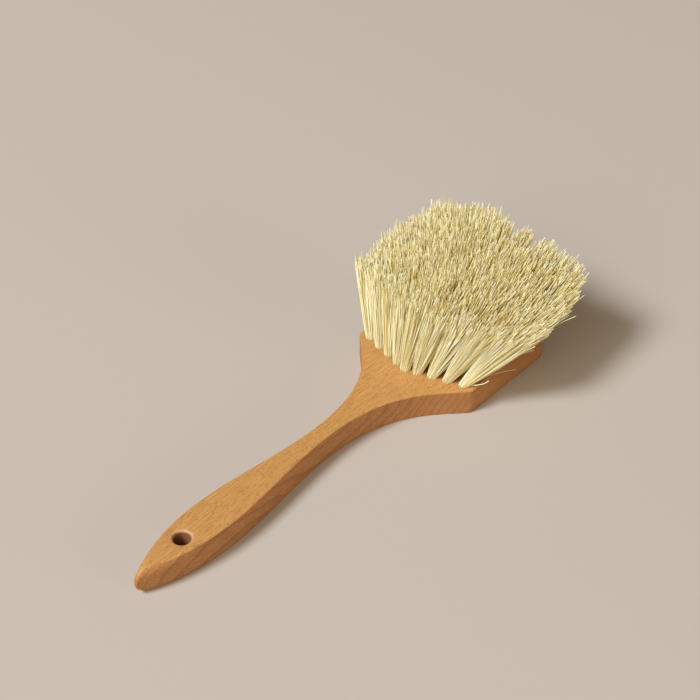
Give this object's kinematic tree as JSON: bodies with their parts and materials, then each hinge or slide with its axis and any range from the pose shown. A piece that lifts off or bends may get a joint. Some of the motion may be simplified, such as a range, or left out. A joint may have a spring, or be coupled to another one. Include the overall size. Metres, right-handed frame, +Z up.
{
  "type": "cushion brush",
  "caption": "Flat wooden hand brush with a waisted handle, a hanging hole and a broad head of plant-fibre tufts that fan out to both sides and lean to the far end.",
  "frame": {"origin": "middle of the head on the flat back face, which the brush rests on", "axes": "+X along the brush from the handle to the head, +Y to the left seen from the handle, +Z up out of the bristle side"},
  "size_m": [0.2993, 0.1278, 0.0696],
  "materials": {
    "beech": "oiled, satin, fine straight grain along the brush",
    "plant_fibre": "dry, stiff, cream to straw-coloured plant fibre, cut square",
    "anchor_steel": "bright flat wire"
  },
  "bodies": {
    "root": {"brush_body": "beech", "bristles_left": "plant_fibre", "bristles_middle": "plant_fibre", "bristles_right": "plant_fibre", "anchor_r1_c1": "anchor_steel", "anchor_r2_c1": "anchor_steel", "anchor_r3_c1": "anchor_steel", "anchor_r4_c1": "anchor_steel", "anchor_r5_c1": "anchor_steel", "anchor_r6_c1": "anchor_steel", "anchor_r1_c2": "anchor_steel", "anchor_r2_c2": "anchor_steel", "anchor_r3_c2": "anchor_steel", "anchor_r4_c2": "anchor_steel", "anchor_r5_c2": "anchor_steel", "anchor_r6_c2": "anchor_steel", "anchor_r1_c3": "anchor_steel", "anchor_r2_c3": "anchor_steel", "anchor_r3_c3": "anchor_steel", "anchor_r4_c3": "anchor_steel", "anchor_r5_c3": "anchor_steel", "anchor_r6_c3": "anchor_steel", "anchor_r1_c4": "anchor_steel", "anchor_r2_c4": "anchor_steel", "anchor_r3_c4": "anchor_steel", "anchor_r4_c4": "anchor_steel", "anchor_r5_c4": "anchor_steel", "anchor_r6_c4": "anchor_steel", "anchor_r1_c5": "anchor_steel", "anchor_r2_c5": "anchor_steel", "anchor_r3_c5": "anchor_steel", "anchor_r4_c5": "anchor_steel", "anchor_r5_c5": "anchor_steel", "anchor_r6_c5": "anchor_steel", "anchor_r1_c6": "anchor_steel", "anchor_r2_c6": "anchor_steel", "anchor_r3_c6": "anchor_steel", "anchor_r4_c6": "anchor_steel", "anchor_r5_c6": "anchor_steel", "anchor_r6_c6": "anchor_steel", "anchor_r1_c7": "anchor_steel", "anchor_r2_c7": "anchor_steel", "anchor_r3_c7": "anchor_steel", "anchor_r4_c7": "anchor_steel", "anchor_r5_c7": "anchor_steel", "anchor_r6_c7": "anchor_steel", "anchor_r1_c8": "anchor_steel", "anchor_r2_c8": "anchor_steel", "anchor_r3_c8": "anchor_steel", "anchor_r4_c8": "anchor_steel", "anchor_r5_c8": "anchor_steel", "anchor_r6_c8": "anchor_steel", "anchor_r1_c9": "anchor_steel", "anchor_r2_c9": "anchor_steel", "anchor_r3_c9": "anchor_steel", "anchor_r4_c9": "anchor_steel", "anchor_r5_c9": "anchor_steel", "anchor_r6_c9": "anchor_steel"}
  },
  "joints": []
}
